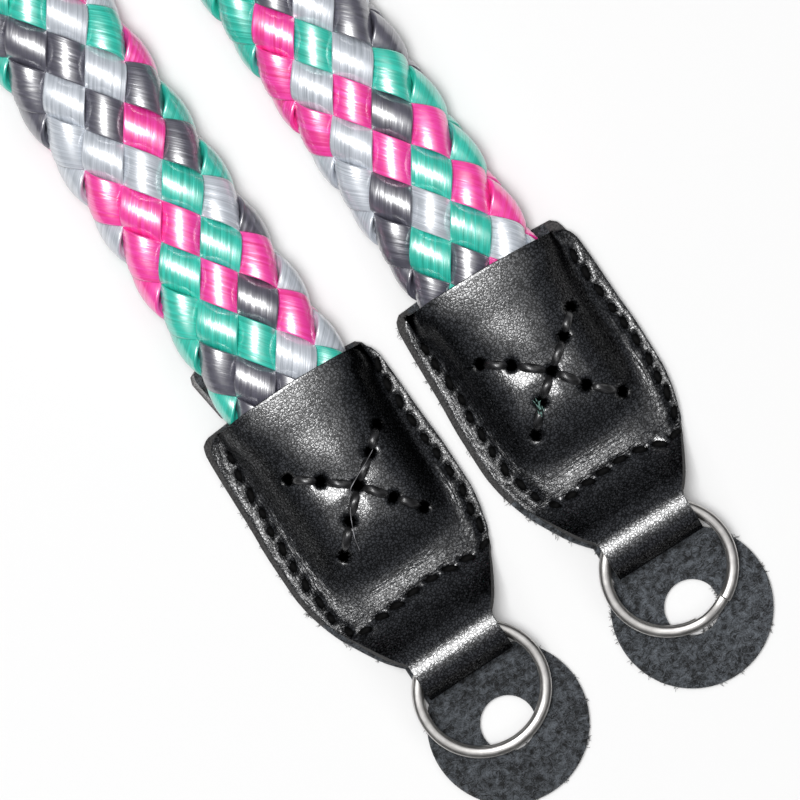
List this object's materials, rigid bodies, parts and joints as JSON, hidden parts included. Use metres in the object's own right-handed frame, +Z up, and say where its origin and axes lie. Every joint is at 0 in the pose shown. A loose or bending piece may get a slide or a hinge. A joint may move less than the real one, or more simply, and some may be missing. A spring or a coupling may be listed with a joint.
{
  "type": "camera neck strap",
  "caption": "Thick multicolour braided neck strap lying in a loop, with stitched leather tabs, split rings and round leather protector discs at its ends.",
  "frame": {"origin": "middle of the strap's footprint, on the surface it lies on", "axes": "+Z up from the surface, +Y from the two ends towards the far bend of the loop, +X from end a towards end b"},
  "size_m": [0.2156, 0.446, 0.0117],
  "materials": {
    "braid": "satin multifilament yarns in pink, teal, silver and dark grey",
    "leather_black": "smooth black leather with a fine grain",
    "suede_black": "black suede, flesh side up",
    "ring_steel": "nickel-plated spring steel"
  },
  "bodies": {
    "strap": {"braided_rope": "braid", "leather_front_a": "leather_black", "leather_front_b": "leather_black", "leather_back_a": "suede_black", "leather_back_b": "suede_black"},
    "ring_a": {"split_ring_a": "ring_steel"},
    "ring_b": {"split_ring_b": "ring_steel"}
  },
  "joints": [
    {"name": "ring_swing_a", "type": "hinge", "parent": "strap", "child": "ring_a", "pos_m": [-0.01618, -0.19809, 0.0059], "axis": [-0.9998, -0.0209, 0], "range_deg": [0, 105]},
    {"name": "ring_swing_b", "type": "hinge", "parent": "strap", "child": "ring_b", "pos_m": [0.0156, -0.19778, 0.0059], "axis": [-1, 0, 0], "range_deg": [0, 105]}
  ]
}
